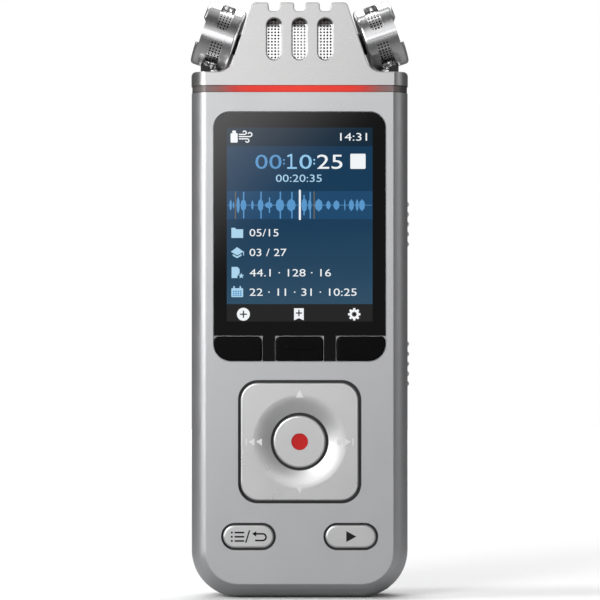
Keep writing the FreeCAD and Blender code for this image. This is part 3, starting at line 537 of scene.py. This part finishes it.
def softkey_signs():
    """Plus, flag and gear above the three soft keys."""
    z = PICTURE_LOW + 1.5
    dark = bmesh.new()
    for x, half in ((-11.65, 0.62), (-0.15, 0.55)):
        lift = z if x < -5 else z + 0.25
        bar(dark, x - half, lift, x + half, lift, 0.26, INK_Y - 0.006, INK_Y - 0.001)
        bar(dark, x, lift - half, x, lift + half, 0.26, INK_Y - 0.006, INK_Y - 0.001)
    new_piece("display_pluses", dark, "ink_grey")
    flag = [(-1.16, z - 1.25), (-1.16, z + 1.24), (0.85, z + 1.24), (0.85, z - 1.25), (-0.15, z - 0.8)]
    ink("display_disc_and_flag", "ink_white", outlines=[disc(-11.65, z, 1.34, 36), flag])
    gear = []
    for i in range(8):
        gear += arc(11.3, z, 1.3, 45 * i - 10, 45 * i + 10, 1)
        gear += arc(11.3, z, 0.98, 45 * i + 15, 45 * i + 30, 1)
    bm = bmesh.new()
    ring(bm, gear, [(11.3 + 0.43 * (x - 11.3), z + 0.43 * (h - z)) for x, h in gear], INK_Y, INK_BACK)
    new_piece("display_gear", bm, "ink_white")


picture_area()
status_row()
timers()
track()
list_rows()
softkey_signs()


# ---------------------------------------------------------------- perforated sheets

# Each cell of a sheet: where its border points lie, in cell widths from its centre.
CELL = ((0.5, 0), (0.5, 0.5), (0, 0.5), (-0.5, 0.5), (-0.5, 0), (-0.5, -0.5), (0, -0.5), (0.5, -0.5))
HOLE_R = 0.22


def perforated(name, node, columns, rows, width, length, thickness, place, closed):
    """Sheet with a grid of round holes; place(u, v, depth) sets a point of the flat sheet in space."""
    bm = bmesh.new()
    step_u, step_v = width / columns, length / rows
    turns = [(math.cos(math.radians(45 * i)), math.sin(math.radians(45 * i))) for i in range(8)]
    for column in range(columns):
        for row in range(rows):
            u, v = (column + 0.5) * step_u, (row + 0.5) * step_v
            sides = []
            for depth in (0.0, thickness):
                outer = [bm.verts.new(place(u + a * step_u, v + b * step_v, depth)) for a, b in CELL]
                inner = [bm.verts.new(place(u + HOLE_R * a, v + HOLE_R * b, depth)) for a, b in turns]
                sides.append((outer, inner))
            (outer, inner), (outer_back, inner_back) = sides
            last_column, last_row = column == columns - 1, row == rows - 1
            right = last_column and not closed
            left = column == 0 and not closed
            ends = (right, last_row, last_row, left, left, row == 0, row == 0, right)
            for i in range(8):
                j = (i + 1) % 8
                bm.faces.new((outer[i], outer[j], inner[j], inner[i]))
                bm.faces.new((outer_back[j], outer_back[i], inner_back[i], inner_back[j]))
                bm.faces.new((inner[i], inner[j], inner_back[j], inner_back[i]))
                if ends[i]:
                    bm.faces.new((outer[j], outer[i], outer_back[i], outer_back[j]))
    bmesh.ops.remove_doubles(bm, verts=bm.verts, dist=0.002)
    piece = new_piece(name, bm, "mesh_metal")
    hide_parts(node)


def cage_sheet():
    """Sheet folded over inside the cage, from the front slots to the rear ones."""
    low, high = mm_box("mic_mesh_center")
    bend_r, half_y = 2.2, high.y
    straight = high.z - bend_r - low.z
    bend = bend_r * math.pi / 2
    flat = 2 * (half_y - bend_r)
    width = high.x - low.x

    def place(u, v, depth):
        x, r, turn_z, turn_y = low.x + u, bend_r - depth, high.z - bend_r, half_y - bend_r
        if v < straight:
            return (x, depth - half_y, low.z + v)
        v -= straight
        if v < bend:
            return (x, -turn_y - r * math.cos(v / bend_r), turn_z + r * math.sin(v / bend_r))
        v -= bend
        if v < flat:
            return (x, v - turn_y, high.z - depth)
        v -= flat
        if v < bend:
            return (x, turn_y + r * math.sin(v / bend_r), turn_z + r * math.cos(v / bend_r))
        return (x, half_y - depth, turn_z - (v - bend))

    length = 2 * (straight + bend) + flat
    perforated("mic_mesh_center_perforated", "mic_mesh_center", 26, 53, width, length, 0.3, place, False)


def drum_sheet(side, word):
    """Sleeve inside a microphone drum."""
    low, high = mm_box("mic_mesh_" + word)
    middle = (low + high) / 2
    radius = high.y
    length, lean = 5.3, math.radians(19)
    along = Vector((side * math.cos(lean), 0, math.sin(lean)))
    across = Vector((-side * math.sin(lean), 0, math.cos(lean)))

    def place(u, v, depth):
        angle, r = u / radius, radius - depth
        rim = across * (r * math.sin(angle)) + Vector((0, -r * math.cos(angle), 0))
        return middle + along * (v - length / 2) + rim

    node = "mic_mesh_" + word
    perforated(node + "_perforated", node, 54, 8, 2 * math.pi * radius, length, 0.25, place, True)


cage_sheet()
drum_sheet(-1, "left")
drum_sheet(1, "right")


# ---------------------------------------------------------------- signs on keys

def pad_signs():
    """Pale arrows on the four-way pad."""
    y = PAD_LOW.y - 0.01
    back = y + 0.06
    bm = bmesh.new()
    for way in (1, -1):
        base, tip = PAD_Z + 9.15 * way, PAD_Z + 10.7 * way
        prism(bm, [(-0.83, base), (0.0, tip), (0.83, base)], y, back)
    for side in (-1, 1):
        for base in (7.8, 9.35):
            tip = (side * (base + 1.27), PAD_Z)
            prism(bm, [(side * base, PAD_Z + 0.68), tip, (side * base, PAD_Z - 0.82)], y, back)
        x = side * 11.05
        prism(bm, round_rect(x - 0.11, x + 0.11, PAD_Z - 0.8, PAD_Z + 0.7, 0.05, 2), y, back)
    new_piece("pad_arrows", bm, "print_light", body="pad")


def key_signs():
    """Dark list, slash and return arrow on one key, and a triangle on the other."""
    y = MENU_LOW.y - 0.01
    back = y + 0.06
    bm = bmesh.new()
    for row in (-0.92, -0.05, 0.82):
        z = KEY_Z + row
        prism(bm, disc(MENU_X - 3.45, z, 0.22, 12), y, back)
        bar(bm, MENU_X - 2.75, z, MENU_X - 1.0, z, 0.34, y, back)
    bar(bm, MENU_X - 0.55, KEY_Z - 1.2, MENU_X + 0.2, KEY_Z + 1.2, 0.28, y, back)
    high, low = KEY_Z + 0.56, KEY_Z - 0.83
    bar(bm, MENU_X + 1.5, high, MENU_X + 2.95, high, 0.34, y, back)
    bar(bm, MENU_X + 1.5, low, MENU_X + 2.95, low, 0.34, y, back)
    hook = arc(MENU_X + 2.95, (high + low) / 2, (high - low) / 2, 90, -90, 8)
    for a, b in zip(hook, hook[1:]):
        bar(bm, a[0], a[1], b[0], b[1], 0.34, y, back)
    prism(bm, [(MENU_X + 0.75, high), (MENU_X + 1.61, high + 0.55), (MENU_X + 1.61, high - 0.55)], y, back)
    new_piece("menu_sign", bm, "print_dark", body="menu_button")
    bm = bmesh.new()
    base = PLAY_X - 0.95
    prism(bm, [(base, KEY_Z + 1.15), (PLAY_X + 1.15, KEY_Z), (base, KEY_Z - 1.15)], y, back)
    new_piece("play_sign", bm, "print_dark", body="play_button")


pad_signs()
key_signs()


# ---------------------------------------------------------------- stage, camera and light

def floor():
    """Pale floor, darker where it is only seen as a reflection, with a painted pool of light round the object
    there.
    """
    bm = bmesh.new()
    bmesh.ops.create_grid(bm, x_segments=8, y_segments=8, size=0.9)
    mesh = bpy.data.meshes.new("floor")
    bm.to_mesh(mesh)
    bm.free()
    s = Shader("pale_floor")
    s.set(Roughness=0.9, Specular_IOR_Level=0.0)
    pale = s.ramp(s.noise(8.0), [(0.3, (0.93, 0.93, 0.93)), (0.7, (0.95, 0.95, 0.95))])
    mix = s.add("Mix", data_type="RGBA")
    s.link(s.add("LightPath").outputs["Is Camera Ray"], mix.inputs["Factor"])
    # Painted pool of light in the floor's reflected colour: lighter near the object, darker farther out.
    away = s.add("VectorMath", operation="LENGTH")
    s.link(s.place(), away.inputs[0])
    near = s.span(away.outputs["Value"], 0.02, 0.22)
    s.link(s.ramp(near, [(0.0, (0.42, 0.42, 0.42)), (1.0, (0.15, 0.15, 0.15))]), mix.inputs["A"])
    s.link(pale, mix.inputs["B"])
    s.link(mix.outputs["Result"], s.main.inputs["Base Color"])
    mesh.materials.append(s.material)
    plane = bpy.data.objects.new("floor", mesh)
    bpy.context.scene.collection.objects.link(plane)


class Room:
    """Surroundings as sums of soft patches of light, by direction."""

    def __init__(self):
        self.world = bpy.data.worlds.new("studio")
        bpy.context.scene.world = self.world
        self.world.use_nodes = True
        self.tree = self.world.node_tree
        self.place = self.tree.nodes.new("ShaderNodeTexCoord").outputs["Generated"]
        split = self.tree.nodes.new("ShaderNodeSeparateXYZ")
        self.tree.links.new(self.place, split.inputs["Vector"])
        self.part = split.outputs
        self.total = None

    def math(self, operation, a, b=None):
        node = self.tree.nodes.new("ShaderNodeMath")
        node.operation = operation
        for socket, value in zip(node.inputs, (a, b)):
            if isinstance(value, (int, float)):
                socket.default_value = value
            elif value is not None:
                self.tree.links.new(value, socket)
        return node.outputs["Value"]

    def fade(self, value, start, stop, low=0.0, high=1.0):
        """Smooth step of an angle, between two angles in degrees."""
        node = self.tree.nodes.new("ShaderNodeMapRange")
        node.interpolation_type = "SMOOTHSTEP"
        ends = (math.radians(start), math.radians(stop), low, high)
        for key, number in zip(("From Min", "From Max", "To Min", "To Max"), ends):
            node.inputs[key].default_value = number
        self.tree.links.new(value, node.inputs["Value"])
        return node.outputs["Result"]

    def band(self, value, centre, half, soft):
        """One inside a band of degrees, fading to nothing over its soft edge."""
        away = self.math("ABSOLUTE", self.math("SUBTRACT", value, math.radians(centre)))
        return self.fade(away, half, half + soft, 1.0, 0.0)

    def product(self, first, *rest):
        for factor in rest:
            first = self.math("MULTIPLY", first, factor)
        return first

    def distance(self, turn, lift, turn_0, lift_0):
        """Angle from one direction, good for small angles."""
        across = self.math("SUBTRACT", turn, math.radians(turn_0))
        up = self.math("SUBTRACT", lift, math.radians(lift_0))
        squares = self.math("MULTIPLY", across, across), self.math("MULTIPLY", up, up)
        return self.math("SQRT", self.math("ADD", *squares))

    def add(self, value, strength):
        value = self.math("MULTIPLY", value, strength)
        self.total = value if self.total is None else self.math("ADD", self.total, value)

    def azimuth(self):
        """Angle from straight in front of the object, positive to its right."""
        return self.math("ARCTAN2", self.part["X"], self.math("MULTIPLY", self.part["Y"], -1.0))

    def elevation(self):
        return self.math("ARCSINE", self.part["Z"])

    def finish(self, base):
        total = self.math("ADD", self.total, base)
        tree = self.tree
        eye = tree.nodes["Background"]
        eye.inputs["Color"].default_value = (1, 1, 1, 1)
        room = tree.nodes.new("ShaderNodeBackground")
        tree.links.new(total, room.inputs["Strength"])
        mix = tree.nodes.new("ShaderNodeMixShader")
        path = tree.nodes.new("ShaderNodeLightPath")
        tree.links.new(path.outputs["Is Camera Ray"], mix.inputs["Fac"])
        tree.links.new(room.outputs["Background"], mix.inputs[1])
        tree.links.new(eye.outputs["Background"], mix.inputs[2])
        tree.links.new(mix.outputs["Shader"], tree.nodes["World Output"].inputs["Surface"])


def studio():
    """White for the eye; for light and reflections, a soft grey room, brighter to the left."""
    room = Room()
    turn, lift = room.azimuth(), room.elevation()
    off_axis = room.distance(turn, lift, 0, 1.1)
    # Broad light ahead, weaker to the right, with a darker opening straight ahead.
    general = room.product(room.band(turn, 0, 34, 30), room.band(lift, -4, 24, 26))
    leftward = room.math("ADD", room.math("MULTIPLY", turn, -1.35), room.math("MULTIPLY", lift, -0.4))
    slope = room.fade(leftward, -24, 22, 0.1, 1.3)
    opening = room.fade(off_axis, 3.6, 7.5, 0.08, 1.0)
    room.add(room.product(general, slope, opening), 1.93)
    # Soft box to the left, and a small bright patch up and to the left of the opening.
    room.add(room.fade(room.distance(turn, lift, -28, 8), 7, 22, 1.0, 0.0), 1.7)
    corner = room.fade(room.math("SUBTRACT", lift, turn), 1.6, 5.2)
    room.add(room.product(corner, room.fade(off_axis, 5, 10, 1.0, 0.0)), 3.1)
    # Tall narrow strips on both sides, and a patch overhead.
    for centre, half, soft, strength in ((-80, 5, 4, 7.0), (96, 5, 9, 0.8)):
        room.add(room.product(room.band(turn, centre, half, soft), room.band(lift, 10, 50, 25)), strength)
    room.add(room.band(lift, 90, 14, 22), 0.5)
    room.finish(0.14)


def area_light(name, place, target, size, power):
    data = bpy.data.lights.new(name, "AREA")
    data.energy = power
    data.size = size
    lamp = bpy.data.objects.new(name, data)
    lamp.location = place
    lamp.rotation_euler = (Vector(target) - Vector(place)).to_track_quat("-Z", "Y").to_euler()
    bpy.context.scene.collection.objects.link(lamp)
    return lamp


def camera():
    """Long lens straight in front, at the object's middle height."""
    lens, sensor, frame_height = 200.0, 36.0, 0.12427
    data = bpy.data.cameras.new("camera")
    data.lens = lens
    data.sensor_width = sensor
    distance = frame_height * lens / sensor
    view = bpy.data.objects.new("camera", data)
    view.location = (0.00007, FRONT_Y * MM - distance, 0.06195)
    view.rotation_euler = (math.radians(90), 0, 0)
    bpy.context.scene.collection.objects.link(view)
    bpy.context.scene.camera = view


floor()
studio()
camera()
middle = (0, 0, 0.09)
area_light("key_light", (-0.50, -0.75, 0.56), middle, 0.35, 3.0)
area_light("floor_light", (0.0, 1.2, 1.4), (0, 0.3, 0), 1.6, 25.0)
bpy.context.scene.view_settings.view_transform = "Standard"
